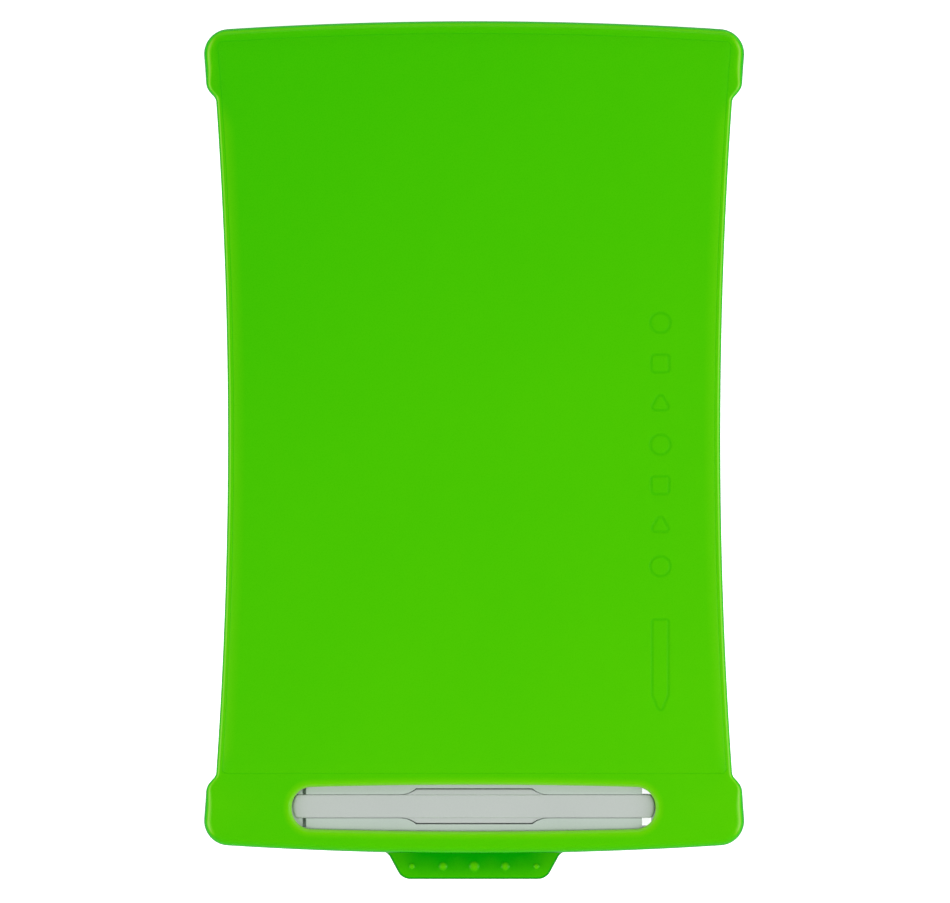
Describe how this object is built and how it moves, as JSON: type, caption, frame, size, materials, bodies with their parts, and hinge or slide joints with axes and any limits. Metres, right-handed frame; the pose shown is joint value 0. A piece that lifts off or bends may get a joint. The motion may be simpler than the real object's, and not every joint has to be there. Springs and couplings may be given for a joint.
{
  "type": "kids lcd writing tablet",
  "caption": "Slim LCD writing tablet for children with a clip-on green screen cover, a thumb tab and a flat stylus docked in the cover's long window.",
  "frame": {"origin": "middle of the flat back face of the rear shell", "axes": "+X across the tablet to the right, +Y from the stylus dock to the top edge, +Z out of the screen"},
  "size_m": [0.1468, 0.2333, 0.0092],
  "materials": {
    "green_cover": "fine matt moulded polypropylene, slightly translucent",
    "housing_grey": "fine matt moulded ABS",
    "tape": "thin foam tape",
    "film": "smooth clear film over a dark layer",
    "crystal": "dark liquid crystal",
    "backing": "matt black film",
    "support": "plain sheet plastic",
    "board": "solder mask",
    "chip": "moulded epoxy",
    "capacitor": "ceramic with tinned ends",
    "connector": "moulded nylon",
    "flex": "amber polyimide",
    "spring_steel": "stamped stainless steel",
    "button": "fine matt moulded plastic",
    "steel": "nickel-plated steel",
    "stylus_grey": "smooth matt moulded ABS"
  },
  "bodies": {
    "tablet": {"front_bezel": "housing_grey", "rear_shell": "housing_grey", "adhesive_frame": "tape", "writing_film": "film", "crystal_layer": "crystal", "backing_film": "backing", "support_plate": "support", "circuit_board": "board", "controller_chip": "chip", "capacitors": "capacitor", "display_connector": "connector", "display_flex": "flex", "switch_base": "connector", "switch_dome": "spring_steel", "coin_cell": "steel", "battery_contact_minus": "spring_steel", "battery_contact_plus": "spring_steel", "battery_door": "housing_grey", "battery_door_screw": "steel", "housing_screws": "steel"},
    "cover": {"screen_cover": "green_cover"},
    "stylus": {"stylus_barrel": "stylus_grey", "stylus_tip": "stylus_grey"},
    "eraser": {"erase_button": "button"}
  },
  "joints": [
    {"name": "cover_lift", "type": "slide", "parent": "tablet", "child": "cover", "axis": [0, 0, 1], "range_m": [0, 0.03]},
    {"name": "stylus_lift", "type": "slide", "parent": "tablet", "child": "stylus", "axis": [0, 0, 1], "range_m": [0, 0.025]},
    {"name": "erase_press", "type": "slide", "parent": "tablet", "child": "eraser", "axis": [0, 0, -1], "range_m": [0, 0.00035], "stiffness_N_per_m": 1500, "deforming": ["switch_dome"]}
  ]
}
